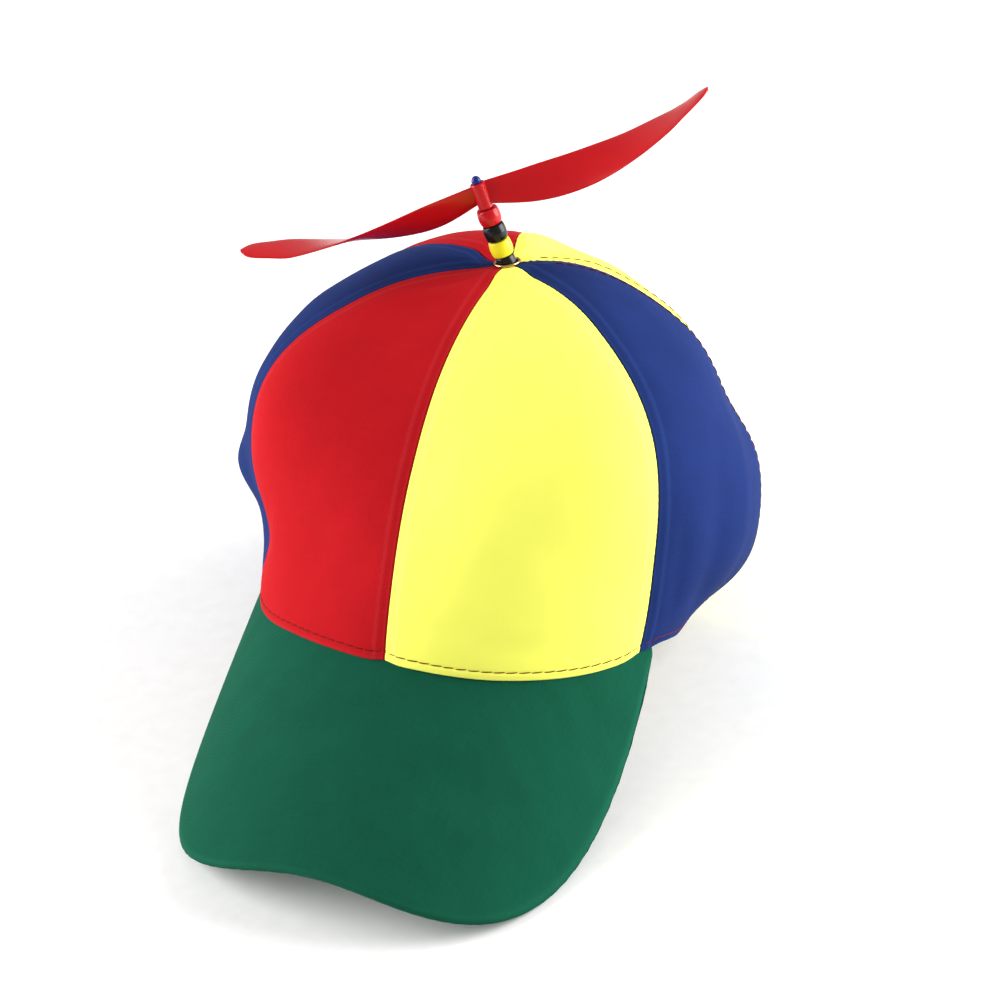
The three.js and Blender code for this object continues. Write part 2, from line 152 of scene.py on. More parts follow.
for row in soft_lights:
    lamp = bpy.data.lights.new(row["name"], "AREA")
    lamp.shape = "DISK"
    lamp.size = row["size"]
    lamp.energy = row["watts"]
    holder = bpy.data.objects.new(row["name"], lamp)
    bpy.context.scene.collection.objects.link(holder)
    turn, tilt = math.radians(row["turn"]), math.radians(row["tilt"])
    away = Vector((math.sin(turn) * math.cos(tilt), -math.cos(turn) * math.cos(tilt), math.sin(tilt)))
    holder.location = away * row["far"] + Vector(view_aim) * mm
    holder.rotation_euler = away.to_track_quat("Z", "Y").to_euler()


# The crown: six gores of cotton twill, each cut to a leaf shape and sewn to the next. The
# seams are pressed open over a tape and stitched down on both sides, so each seam is a groove
# between two low flat ridges. The hem is turned in and stitched all round.
crown_length = 201.0
crown_width = 179.0
crown_rise = 106.0
widest_height = 23.0
top_behind_middle = 5.0
cloth_wall = 1.6
hem_pressed_up = 2.5
touch = 0.3
hem_fall = 14.0
flat_top_radius = 7.5
flat_top_end = 17.0
seam_pull = 0.7
seam_pull_reach = 5.0
seam_roll = 0.5
seam_ridge = 0.16
hem_roll = 0.8
hem_lip = 0.3
hem_row_height = 3.3
stitch_dent = 0.1
stitch_dent_width = 0.6
hem_dent = 0.24
seam_notch = 0.8
seam_notch_pitch = 2.9
seam_notch_width = 1.0
seam_stitch = 4.2
hem_stitch = 4.6
eyelet_hole_radius = 5.2
ridge_edge_in = 0.5
ridge_edge_out = 1.2
lip_edge_in = 0.9
lip_edge_out = 0.4

# How full the crown is: rows go round it, columns up it, each a share of the plain oval dome
fullness = [
    {"around": -180, "hem": 0.92, "belly": 0.98, "middle": 1.0, "shoulder": 1.07, "top": 1.085},
    {"around": -150, "hem": 0.95, "belly": 1.07, "middle": 1.04, "shoulder": 1.12, "top": 1.085},
    {"around": -120, "hem": 0.96, "belly": 1.2, "middle": 1.18, "shoulder": 1.16, "top": 1.07},
    {"around": -90, "hem": 0.99, "belly": 1.195, "middle": 1.23, "shoulder": 1.13, "top": 1.035},
    {"around": -60, "hem": 1.04, "belly": 1.015, "middle": 1.13, "shoulder": 1.055, "top": 1.0},
    {"around": -30, "hem": 1.02, "belly": 0.88, "middle": 0.93, "shoulder": 0.94, "top": 0.975},
    {"around": 0, "hem": 1.0, "belly": 0.89, "middle": 0.87, "shoulder": 0.915, "top": 0.965},
    {"around": 30, "hem": 1.01, "belly": 0.96, "middle": 1.0, "shoulder": 0.99, "top": 0.98},
    {"around": 60, "hem": 1.0, "belly": 1.045, "middle": 1.165, "shoulder": 1.085, "top": 1.005},
    {"around": 90, "hem": 0.93, "belly": 1.115, "middle": 1.17, "shoulder": 1.095, "top": 1.04},
    {"around": 120, "hem": 0.86, "belly": 1.115, "middle": 1.105, "shoulder": 1.08, "top": 1.04},
    {"around": 150, "hem": 0.86, "belly": 1.035, "middle": 1.015, "shoulder": 1.08, "top": 1.025},
]
rise_angles = {"hem": -20, "belly": 5, "middle": 30, "shoulder": 55, "top": 78}

# Soft dents and bulges, in degrees and as a share of the dome
folds = [
    {"around": -80, "rise": 8, "wide": 8, "tall": 5, "depth": 0.056},
    {"around": -70, "rise": 3, "wide": 14, "tall": 8, "depth": -0.015},
    {"around": -68, "rise": 0, "wide": 13, "tall": 8, "depth": -0.064},
    {"around": -95, "rise": 30, "wide": 16, "tall": 8, "depth": -0.016},
    {"around": 93, "rise": -13, "wide": 15, "tall": 10, "depth": -0.056},
    {"around": 113, "rise": -5, "wide": 16, "tall": 8, "depth": 0.041},
    {"around": 85, "rise": 7, "wide": 13, "tall": 8, "depth": 0.012},
    {"around": 109, "rise": 29, "wide": 18, "tall": 9, "depth": -0.034},
    {"around": 132, "rise": 58, "wide": 14, "tall": 9, "depth": -0.014},
]

# Creases: where, which way they run from level, how long and wide, and how high they stand, in mm
creases = [
    {"around": 82, "rise": 8, "slant": 84, "long": 34, "wide": 6.0, "high": -1.3},
    {"around": 93, "rise": 12, "slant": 80, "long": 30, "wide": 5.0, "high": 0.7},
    {"around": 71, "rise": 2, "slant": 92, "long": 26, "wide": 3.5, "high": -0.5},
    {"around": 34, "rise": -8, "slant": 4, "long": 22, "wide": 6.0, "high": -0.9},
    {"around": 14, "rise": -4, "slant": -12, "long": 14, "wide": 4.0, "high": -0.35},
    {"around": -61, "rise": -5, "slant": 30, "long": 7, "wide": 2.2, "high": -0.9},
    {"around": -54, "rise": 4, "slant": 70, "long": 18, "wide": 5.0, "high": -0.5},
    {"around": -96, "rise": 20, "slant": 85, "long": 26, "wide": 6.0, "high": -0.8},
    {"around": -140, "rise": 12, "slant": 95, "long": 30, "wide": 7.0, "high": -1.0},
    {"around": 150, "rise": 6, "slant": 86, "long": 28, "wide": 6.0, "high": -0.9},
    {"around": 170, "rise": 22, "slant": 80, "long": 26, "wide": 6.0, "high": 0.6},
]

# The seams in order, by their angles at the hem and at the top. The soft crown leans, so two of
# the back seams turn a little to the left on their way up. Tight is how hard a seam's own
# stitches notch it, sink how deep the threads beside it lie in the cloth, and row how far from
# it they run, in mm
seam_turn_start = -14.0
seam_turn_end = 66.0
seams = [
    {"hem": 0.0, "top": 0.0, "thread": "cloth", "tight": 0.0, "sink": 0.42, "row": 5.2},
    {"hem": 64.5, "top": 64.5, "thread": "cloth", "tight": 0.2, "sink": 0.42, "row": 5.2},
    {"hem": 117.5, "top": 117.5, "thread": "dark_red", "tight": 1.0, "sink": 0.05, "row": 8.0},
    {"hem": 180.0, "top": 196.0, "thread": "cloth", "tight": 0.5, "sink": 0.42, "row": 5.2},
    {"hem": 242.5, "top": 254.0, "thread": "cloth", "tight": 0.3, "sink": 0.42, "row": 5.2},
    {"hem": 295.5, "top": 295.5, "thread": "cloth", "tight": 0.0, "sink": 0.42, "row": 5.2},
    {"hem": 360.0, "top": 360.0, "thread": "cloth", "tight": 0.0, "sink": 0.42, "row": 5.2},
]
panels = [
    {"node": "panel_front_yellow", "cloth": "yellow"},
    {"node": "panel_side_blue_right", "cloth": "blue"},
    {"node": "panel_back_yellow", "cloth": "yellow"},
    {"node": "panel_back_red", "cloth": "red"},
    {"node": "panel_side_blue_left", "cloth": "blue"},
    {"node": "panel_front_red", "cloth": "red"},
]

# The cap's own frame in the world: the middle of the hem's plane, and the way the cap tips back
opening = frame["record"]["mounts"][0]
hem_middle = np.array(opening["pos_m"]) / mm
down = opening["axis"]
tip = math.atan2(-down[1], -down[2])
tip_matrix = np.array([[1, 0, 0], [0, math.cos(tip), math.sin(tip)], [0, -math.sin(tip), math.cos(tip)]])


def in_world(points):
    """Points of the cap's own frame, in mm, as world points in metres."""
    return (points @ tip_matrix.T + hem_middle) * mm


joint = frame["record"]["behaviour"]["joints"][0]
pin_direction = tip_matrix.T @ np.array(joint["axis"])
pin_direction /= np.linalg.norm(pin_direction)
eyelet_lean_side = 6.0
eyelet_lean_forward = 8.5
lean_x = math.tan(math.radians(eyelet_lean_side))
lean_y = math.tan(math.radians(eyelet_lean_forward))
eyelet_direction = np.array([-lean_x, -lean_y, 1.0])
eyelet_direction /= np.linalg.norm(eyelet_direction)
apex = np.array([0.0, top_behind_middle, widest_height + crown_rise])


def smooth(value, start, end):
    """0 before start, 1 after end and a soft step between them."""
    t = np.clip((value - start) / (end - start), 0.0, 1.0)
    return t * t * (3 - 2 * t)


def between(a, b, share):
    """The value that lies this share of the way from a to b."""
    return a + (b - a) * share


def turned_from(a, b):
    """The turn from b to a in degrees, from -180 to 180."""
    return (a - b + 180.0) % 360.0 - 180.0


def through(at, places, values, end_slope=None):
    """A smooth value through stations, each slope taken from the stations beside it."""
    last = len(places) - 1

    def slope(j):
        if j == last and end_slope is not None:
            return end_slope
        before, after = max(j - 1, 0), min(j + 1, last)
        return (values[after] - values[before]) / (places[after] - places[before])

    total = 0.0
    for i in range(last):
        here = (at > places[i]) | (i == 0)
        here = here & ((at <= places[i + 1]) | (i == last - 1))
        span = places[i + 1] - places[i]
        t = (at - places[i]) / span
        rest = (1 - t) * (1 - t)
        value = values[i] * (1 + 2 * t) * rest + slope(i) * span * t * rest
        value = value + values[i + 1] * t * t * (3 - 2 * t) + slope(i + 1) * span * t * t * (t - 1)
        total = total + np.where(here, value, 0.0)
    return total


def round_ring(around, column):
    """A column of the table of fullness at any angle round the crown."""
    step = 360.0 / len(fullness)
    place = ((around - fullness[0]["around"]) % 360.0) / step
    first = np.floor(place).astype(int)
    shares = np.array([row[column] for row in fullness])
    beside = [shares[(first + k) % len(fullness)] for k in (-1, 0, 1, 2)]
    return through(place - first, [-1, 0, 1, 2], beside)


def share_of_dome(around, rise):
    """How big the crown is here, as a share of the plain dome, with its soft dents and bulges."""
    stations = [round_ring(around, name) for name in rise_angles] + [np.ones_like(around)]
    total = through(rise, [*rise_angles.values(), 90], stations, 0.0)
    for fold in folds:
        a = turned_from(around, fold["around"]) / fold["wide"]
        b = (rise - fold["rise"]) / fold["tall"]
        total = total + fold["depth"] * np.exp(-a * a - b * b)
    return total


def dome(around, rise):
    """Points of the crown's outside by the angle round it and the angle up it."""
    around, rise = np.broadcast_arrays(np.asarray(around, float), np.asarray(rise, float))
    k = share_of_dome(around, rise)
    flat = k * np.cos(np.radians(rise))
    lift = np.maximum(np.sin(np.radians(rise)), 0) ** 2
    x = crown_width / 2 * flat * np.sin(np.radians(around))
    y = -crown_length / 2 * flat * np.cos(np.radians(around)) + top_behind_middle * lift
    z = widest_height + crown_rise * k * np.sin(np.radians(rise))
    plane = apex[2] + lean_x * (x - apex[0]) + lean_y * (y - apex[1])
    reach = np.hypot(x - apex[0], y - apex[1])
    hold = np.where(rise > 0, 1 - smooth(reach, flat_top_radius, flat_top_end), 0.0)
    return np.stack([x, y, z + (plane - z) * hold], axis=-1)


def seam_angle(seam, rise):
    """Where a seam lies round the crown, for each angle up it."""
    return seam["hem"] + (seam["top"] - seam["hem"]) * smooth(rise, seam_turn_start, seam_turn_end)


def dome_normal(around, rise):
    """The direction straight out of the crown."""
    step = 0.4
    east = dome(around + step, rise) - dome(around - step, rise)
    north = dome(around, rise + step) - dome(around, rise - step)
    normal = np.cross(east, north)
    return normal / np.linalg.norm(normal, axis=-1, keepdims=True)


def skin(around, rise, depth=0.0):
    """The cloth's surface as the frame has it, drawn in a little at each seam."""
    point = dome(around, rise)
    reach = np.hypot(point[..., 0] - apex[0], point[..., 1] - apex[1])
    off = np.min([np.abs(turned_from(around, seam_angle(seam, rise))) for seam in seams], axis=0)
    away = np.radians(off) * reach
    fade = smooth(reach, flat_top_radius, flat_top_end)
    pull = seam_pull * np.exp(-((away / seam_pull_reach) ** 2)) * fade
    return point - dome_normal(around, rise) * (pull + depth)[..., None]


def rise_where(around, depth, height_of):
    """The angle up the crown where its skin is at a wanted height."""
    rise = np.full_like(around, rise_angles["hem"])
    for _ in range(12):
        point = skin(around, rise, depth)
        rise = np.clip(rise + np.degrees((height_of(point) - point[..., 2]) / crown_rise), -50, 60)
    return rise


peak_droop = 44.5
peak_bend = 105.5
peak_root_end = 68.5
peak_length = 75.5
peak_skew = 1.5
peak_side = peak_root_end + 1
root_x = crown_width / 2 * math.sin(math.radians(peak_root_end))
root_y = -crown_length / 2 * math.cos(math.radians(peak_root_end))
peak_reach = crown_length / 2 + root_y + peak_length * math.cos(math.radians(peak_droop))


def peak_middle(y):
    """How far the peak's middle line has moved sideways on its way forward."""
    return peak_skew * np.clip((root_y - y) / peak_reach, 0, 1)


def arch(x):
    """The height of the bent board at a distance from its middle line, which is at 0."""
    q = np.minimum(np.abs(x) / peak_bend, 0.97)
    return -peak_bend * (1 - np.sqrt(1 - q * q))


def peak_height(x, y):
    """The height of the bent sheet that the peak's top face follows."""
    across = arch(x - peak_middle(y)) - arch(root_x)
    return across / math.cos(math.radians(peak_droop)) + (y - root_y) * math.tan(math.radians(peak_droop))


def on_peak(point, lift=0.0):
    """The height of the peak's top face at a point's place in plan, and this much more."""
    return peak_height(point[..., 0], point[..., 1]) + lift


back_rise = rise_where(np.array([180.0]), 0.0, lambda p: np.full_like(p[..., 2], hem_pressed_up))
back_y = skin(np.array([180.0]), back_rise)[0, 1]


def hem_rise(around, depth):
    """The hem lies on the peak in front, level at the sides and on the floor at the back."""
    lift = touch / math.cos(math.radians(peak_droop))
    off = np.abs(turned_from(around, 0.0))
    side = np.sign(turned_from(around, 0.0)) * peak_side
    side_rise = rise_where(side, depth, on_peak)
    side_height = skin(side, side_rise, depth)[..., 2] + lift
    level = side_height * (1 - smooth(off, peak_side, peak_side + hem_fall))

    def height(point):
        behind = np.maximum(0, hem_pressed_up + (point[..., 1] - back_y) * math.tan(tip))
        return np.where(off <= peak_side, on_peak(point, lift), np.where(off > 90, behind, level))

    return rise_where(around, depth, height)


def hole_rise(around):
    """The angle at which the cloth ends under the eyelet."""
    x = crown_width / 2 * np.sin(np.radians(around))
    y = -crown_length / 2 * np.cos(np.radians(around))
    run = np.hypot(x, y)
    slope = (lean_x * x + lean_y * y) / run
    return np.degrees(np.arccos(eyelet_hole_radius / np.hypot(1, slope) / run))


def rolled(distance, radius):
    """How far cloth that is turned in at its edge has dropped, at a distance from that edge."""
    short = radius - np.minimum(distance, radius)
    return radius - np.sqrt(radius * radius - short * short)


def dented(distance, middle, width):
    """1 at this distance from an edge, and softly down to 0 on both sides of it."""
    return np.exp(-(((distance - middle) / width) ** 2))


def creased(around, rise):
    """The height in mm that the creases add at a point of the crown."""
    total = 0.0
    for row in creases:
        a = np.radians(turned_from(around, row["around"])) * crown_width / 2 * np.cos(np.radians(rise))
        b = np.radians(rise - row["rise"]) * crown_rise
        slant = math.radians(row["slant"])
        along = a * math.cos(slant) + b * math.sin(slant)
        across = b * math.cos(slant) - a * math.sin(slant)
        total = total + row["high"] * np.exp(-((across / row["wide"]) ** 2) - (along / row["long"]) ** 2)
    return total


def wavering(u, v, seed, length):
    """Soft unevenness of hand-shaped cloth, from -1 to 1, its waves about this long in mm."""
    waves = 9
    total = 0.0
    draw = np.random.default_rng(seed)
    for _ in range(waves):
        angle, phase = draw.uniform(0, 2 * math.pi, 2)
        wave = 2 * math.pi / (length * draw.uniform(0.6, 1.6))
        total = total + np.sin(wave * (u * math.cos(angle) + v * math.sin(angle)) + phase)
    return total / (waves / 2)


def drawn_in(along, stitch):
    """How hard the thread pulls along a row of stitches: hardest at each needle hole."""
    return 0.7 + 0.3 * np.cos(2 * math.pi * along / stitch)


def seam_relief(from_seam, along, tight, row):
    """Groove, pressed ridge and the row of stitches that holds the tape, beside one seam. A tight
    seam is drawn in at each of its own stitches as well, so that its edge looks notched."""
    ridge = seam_ridge * (1 - smooth(from_seam - row, -ridge_edge_in, ridge_edge_out))
    dent = stitch_dent * drawn_in(along, seam_stitch) * dented(from_seam, row, stitch_dent_width)
    pull = np.cos(math.pi * along / seam_notch_pitch) ** 4
    notch = tight * seam_notch * pull * dented(from_seam, 0.0, seam_notch_width)
    return ridge - dent - notch - rolled(from_seam, seam_roll)


def hem_relief(from_hem, along):
    """The turned-in hem below its row of stitches, standing a little proud."""
    lip = hem_lip * (1 - smooth(from_hem, hem_row_height - lip_edge_in, hem_row_height + lip_edge_out))
    dent = hem_dent * drawn_in(along, hem_stitch) * dented(from_hem, hem_row_height, stitch_dent_width)
    return lip - dent - rolled(from_hem, hem_roll)


edge_steps = [0.0, 0.1, 0.25, 0.45, 0.7, 1.0, 1.5, 2.2, 3.0, 3.8, 4.4, 4.8, 5.2, 5.6, 6.1, 6.8, 8.0]
hem_steps = [0.0, 0.12, 0.3, 0.55, 0.85, 1.2, 1.7, 2.2, 2.6, 3.0, 3.3, 3.6, 4.0, 4.6, 5.4, 6.6]
middle_columns = 64
upper_rows = 150


def spaced(total, steps, count, both):
    """Places from 0 to total: close together at the edge, or at both, and even between them."""
    squeeze = min(1.0, total / (steps[-1] * (2.6 if both else 1.5)))
    start = [step * squeeze for step in steps]
    end = [total - step for step in reversed(start)] if both else [total]
    inner = np.linspace(start[-1], end[0], count + 1)[1:-1]
    return np.array(start + list(inner) + end)


def scaled_rows(rows, total):
    """Rows at the same distances near the hem, stretched above it to end at this total."""
    keep = hem_steps[-1]
    stretch = (total - keep) / (rows[-1] - keep)
    return np.where(rows <= keep, rows, keep + (rows - keep) * stretch)


def run_along(lines):
    """How far along its line each point is, for lines of points that run down the first axis."""
    steps = np.linalg.norm(np.diff(lines, axis=0), axis=-1)
    return np.concatenate([np.zeros((1,) + steps.shape[1:]), np.cumsum(steps, axis=0)])


def panel_grid(start, end):
    """The angles and the heights of the panel between two seams, in rows up it from the hem."""
    share = spaced(100.0, edge_steps, middle_columns, True) / 100.0
    low = hem_rise(between(start["hem"], end["hem"], share), 0.0)
    high = hole_rise(between(start["top"], end["top"], share))
    fine = np.linspace(0, 1, 60)[:, None]
    rise = between(low, high, fine)
    run = run_along(skin(between(seam_angle(start, rise), seam_angle(end, rise), share), rise))
    up_run = spaced(float(np.median(run[-1])), hem_steps, upper_rows, False)
    height = np.stack([scaled_rows(up_run, total) for total in run[-1]], axis=1)
    up_share = np.stack([np.interp(rows, one, fine[:, 0]) for rows, one in zip(height.T, run.T)], axis=1)
    rise = between(low, high, up_share)
    return between(seam_angle(start, rise), seam_angle(end, rise), share), rise, height


def placed_across(around, rise):
    """Each row's columns, set by their distance in mm from the two seams."""
    run = run_along(skin(around, rise).transpose(1, 0, 2)).T
    angles, rises, left, right = [], [], [], []
    for i, total in enumerate(run[:, -1]):
        gap = touch / 2
        at = np.clip(spaced(total, edge_steps, middle_columns, True), gap, total - gap)
        angles.append(np.interp(at, run[i], around[i]))
        rises.append(np.interp(at, run[i], rise[i]))
        left.append(at - gap)
        right.append(total - gap - at)
    return np.array(angles), np.array(rises), np.array(left), np.array(right)


def smooth_faces(mesh, corner):
    """Shades a mesh smoothly, but for corners sharper than this many degrees."""
    mesh.polygons.foreach_set("use_smooth", [True] * len(mesh.polygons))
    mesh.set_sharp_from_angle(angle=math.radians(corner))


def closed_shell(name, front, back, cloth_place, marks=None):
    """A closed piece between two grids of points, with where each point lies on the cut cloth."""
    rows, columns = front.shape[:2]
    size = rows * columns
    points = np.concatenate([front.reshape(-1, 3), back.reshape(-1, 3)])
    i, j = np.meshgrid(np.arange(rows - 1), np.arange(columns - 1), indexing="ij")
    a = (i * columns + j).ravel()
    face = np.stack([a, a + 1, a + columns + 1, a + columns], axis=1)
    faces = [face, face[:, ::-1] + size]
    ring = list(range(columns)) + [r * columns + columns - 1 for r in range(1, rows)]
    ring += [(rows - 1) * columns + c for c in range(columns - 2, -1, -1)]
    ring += [r * columns for r in range(rows - 2, 0, -1)]
    ring = np.array(ring)
    after = np.roll(ring, -1)
    faces.append(np.stack([after, ring, ring + size, after + size], axis=1))
    faces = np.concatenate(faces)
    mesh = bpy.data.meshes.new(name)
    mesh.from_pydata(points.tolist(), [], faces.tolist())
    place = np.concatenate([cloth_place.reshape(-1, 2)] * 2)
    layer = mesh.uv_layers.new(name="cloth")
    layer.data.foreach_set("uv", place[faces.ravel()].ravel())
    for mark, values in (marks or {}).items():
        mesh.attributes.new(mark, "FLOAT", "POINT").data.foreach_set("value", np.tile(values.ravel(), 2))
    smooth_faces(mesh, 50)
    mesh.validate()
    return mesh


twill_line = 1.0
twill_depth = 0.25
slub_length = 9.0
slubs_across = 2.2
# Each cloth's dyed tone, a deeper tone for its mottling and twill lines, and a paler tone for its ridges and
# edges that is partly painted highlight and partly wear
cloth_colours = {
    "red": {"dyed": "B6141C", "deep": "A21017", "highlit_and_worn": "C0363C"},
    "yellow": {"dyed": "FFFF6E", "deep": "FCFC64", "highlit_and_worn": "FFFF92"},
    "blue": {"dyed": "1B2F6A", "deep": "162554", "highlit_and_worn": "304A88"},
    "green": {"dyed": "115641", "deep": "0D4735", "highlit_and_worn": "286E56"},
}


def cotton_twill(colour):
    """Piece-dyed cotton twill: matt and slightly fuzzy, with fine diagonal lines, thicker threads
    here and there, and paler lines by seams, hems and edges: partly a painted highlight where
    their ridges catch light, partly lint and pressing wear. The real lines are 0.5 mm apart and
    are drawn 1 mm apart, which is the finest that shows."""
    tones = {name: linear(code) for name, code in cloth_colours[colour].items()}
    material, tree, shader = finish_of(
        f"cotton_twill_{colour}", Roughness=0.88, IOR=1.5, Specular_IOR_Level=0.05,
        Sheen_Weight=0.015, Sheen_Roughness=0.45,
    )
    cloth = add(tree, "ShaderNodeUVMap", uv_map="cloth")
    lines = add(
        tree, "ShaderNodeTexWave",
        {"Vector": cloth.outputs["UV"], "Scale": 2 * math.pi / (10 * twill_line * math.sqrt(2)),
         "Distortion": 1.2, "Detail": 2.0, "Detail Scale": 2.5, "Detail Roughness": 0.6},
        wave_type="BANDS", bands_direction="DIAGONAL",
    )
    thread_run = add(
        tree, "ShaderNodeMapping",
        {"Vector": cloth.outputs["UV"], "Scale": (slubs_across, 1 / slub_length, 1.0)},
    )
    slubs = add(
        tree, "ShaderNodeTexNoise", {"Vector": thread_run.outputs["Vector"], "Scale": 1.0, "Detail": 3.0}
    )
    cross_run = add(
        tree, "ShaderNodeMapping",
        {"Vector": cloth.outputs["UV"], "Scale": (1 / slub_length, slubs_across, 1.0)},
    )
    cross_slubs = add(
        tree, "ShaderNodeTexNoise", {"Vector": cross_run.outputs["Vector"], "Scale": 1.0, "Detail": 3.0}
    )
    clouds = add(
        tree, "ShaderNodeTexNoise",
        {"Vector": cloth.outputs["UV"], "Scale": 0.05, "Detail": 5.0, "Roughness": 0.62},
    )
    yarns = add(
        tree, "ShaderNodeMath", {0: slubs.outputs["Fac"], 1: cross_slubs.outputs["Fac"]}, operation="ADD"
    )
    weave = add(
        tree, "ShaderNodeMath",
        {0: lines.outputs["Fac"], 1: twill_depth, 2: yarns.outputs[0]}, operation="MULTIPLY_ADD",
    )
    depth = add(
        tree, "ShaderNodeMapRange",
        {"Value": weave.outputs[0], "From Min": 0.7, "From Max": 1.6, "To Min": 0.7, "To Max": 0.2},
    )
    dye = add(
        tree, "ShaderNodeMapRange",
        {"Value": clouds.outputs["Fac"], "From Min": 0.3, "From Max": 0.7, "To Min": 0.22, "To Max": -0.12},
    )
    shade = add(
        tree, "ShaderNodeMath", {0: depth.outputs["Result"], 1: dye.outputs["Result"]},
        operation="ADD", use_clamp=True,
    )
    ground = add(
        tree, "ShaderNodeMix",
        {"Factor": shade.outputs[0], 6: tones["dyed"], 7: tones["deep"]}, data_type="RGBA",
    )
    # Paler lines by rows, seams, hem and the peak's edge: partly painted highlight where ridges catch light,
    # partly lint and pressing wear
    highlight_and_wear = add(tree, "ShaderNodeAttribute", attribute_name="highlight_and_wear")
    lint = add(tree, "ShaderNodeTexNoise", {"Vector": cloth.outputs["UV"], "Scale": 1.4, "Detail": 4.0})
    highlight_and_lint = add(
        tree, "ShaderNodeMath", {0: highlight_and_wear.outputs["Fac"], 1: lint.outputs["Fac"]}, operation="MULTIPLY"
    )
    surface = add(
        tree, "ShaderNodeMix",
        {"Factor": highlight_and_lint.outputs[0], 6: ground.outputs[2], 7: tones["highlit_and_worn"]}, data_type="RGBA",
    )
    tree.links.new(surface.outputs[2], shader.inputs["Base Color"])
    rough = add(
        tree, "ShaderNodeMapRange",
        {"Value": weave.outputs[0], "From Min": 0.6, "From Max": 2.0, "To Min": 0.96, "To Max": 0.8},
    )
    tree.links.new(rough.outputs["Result"], shader.inputs["Roughness"])
    relief = add(
        tree, "ShaderNodeBump", {"Height": weave.outputs[0], "Strength": 0.25, "Distance": 0.1 * mm}
    )
    tree.links.new(relief.outputs["Normal"], shader.inputs["Normal"])
    return material


cloths = {colour: cotton_twill(colour) for colour in cloth_colours}

# A panel in mm: where the hem's relief takes over from the seams', how flat the eyelet presses the
# cloth, how far creases and unevenness keep off hem and seams, and how high the hem is folded
hem_relief_below = 0.4
hem_relief_above = 2.0
eyelet_press = 0.6
eyelet_press_reach = 3.0
calm_above_hem = (2.0, 20.0)
calm_beside_seam = 12.0
cloth_unevenness = 0.28
unevenness_length = 34.0
hem_fold_reach = 12.0

# Paler lines by the rows, seams and hem, partly painted highlight where ridges and edges catch light and
# partly pressing wear: how strongly, how far from the row or edge, and how wide
pale_row = {"strong": 0.5, "off": 1.0, "wide": 0.8}
pale_seam = {"strong": 0.4, "off": 0.6, "wide": 0.4}
pale_hem = {"strong": 0.4, "off": 0.8, "wide": 0.6}


def crown_panel(number, row):
    """Makes one panel and returns its outside, for the thread that is sewn into it."""
    around, rise, height = panel_grid(seams[number], seams[number + 1])
    around, rise, left, right = placed_across(around, rise)
    from_seam = np.minimum(left, right)
    tight = np.where(left < right, seams[number]["tight"], seams[number + 1]["tight"])
    row_place = np.where(left < right, seams[number]["row"], seams[number + 1]["row"])
    relief = seam_relief(from_seam, height, tight, row_place)
    low_relief = hem_relief(height, left)
    near_hem = 1 - smooth(height, hem_row_height - hem_relief_below, hem_row_height + hem_relief_above)
    flange = 1 - smooth(height[-1:] - height, 0.0, eyelet_press_reach)
    relief = between(relief, low_relief - rolled(from_seam, seam_roll), near_hem)
    relief = relief * (1 - flange * eyelet_press)
    calm = smooth(height, *calm_above_hem) * smooth(from_seam, 0.0, calm_beside_seam)
    uneven = cloth_unevenness * wavering(left, height, number, unevenness_length)
    relief = relief + (creased(around, rise) + uneven) * calm
    normal = dome_normal(around, rise)
    front = skin(around, rise) + normal * relief[..., None]
    inner_low = hem_rise(around[0], cloth_wall) - rise[0]
    inner_rise = rise + inner_low * (1 - smooth(height, 0.0, hem_fold_reach))
    back = skin(around, inner_rise, cloth_wall)
    middle = (left - right) / 2
    # Paler lines by rows, seams and hem: partly painted highlight on the ridges and edges, partly pressing
    # wear
    highlight_and_wear = pale_row["strong"] * dented(from_seam, row_place - pale_row["off"], pale_row["wide"])
    highlight_and_wear = highlight_and_wear + pale_seam["strong"] * dented(from_seam, pale_seam["off"], pale_seam["wide"])
    highlight_and_wear = highlight_and_wear + pale_hem["strong"] * dented(height, pale_hem["off"], pale_hem["wide"])
    mesh = closed_shell(
        row["node"] + "_cloth", in_world(front), in_world(back),
        np.stack([middle, height], axis=-1), {"highlight_and_wear": highlight_and_wear},
    )
    mesh.materials.append(cloths[row["cloth"]])
    piece = link_object(row["node"] + "_cloth", mesh)
    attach(piece, "cap")
    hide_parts(row["node"])
    return {"front": front, "normal": normal, "from_seam": from_seam, "height": height}


sewn = [crown_panel(number, row) for number, row in enumerate(panels)]


# The stitching: a row of dark red thread holds the hem all round, and rows on both sides of
# each seam hold the tape. Their thread matches the cloth, but for the dark red one beside the
# right back seam. Each stitch is a short bow of thread between two holes.
thread_thick = 0.45
hem_stitch_gap = 0.1
hem_stitch_sink = 0.08
seam_stitch_gap = 0.4
seam_row_seed = 20
stitch_slant = 0.3
stitch_jitter = 0.12
stitch_height = 0.6
stitch_end_thick = 0.55
stitch_swell = 0.45
row_above_hem = 1.5
row_slack = 0.6
stitch_rings = 6
stitch_sides = 6
thread_colours = {"dark_red": "68180F", "yellow": "FCFA62", "red": "A81218", "blue": "1A2C64"}
ply_pitch = 0.6
ply_shadow = 0.75


def along_line(points, pitch):
    """How far along the line each of its points is, and even places a pitch apart on it."""
    run = run_along(points)
    count = max(int(run[-1] / pitch), 1)
    return run, np.arange(count + 1) * run[-1] / count


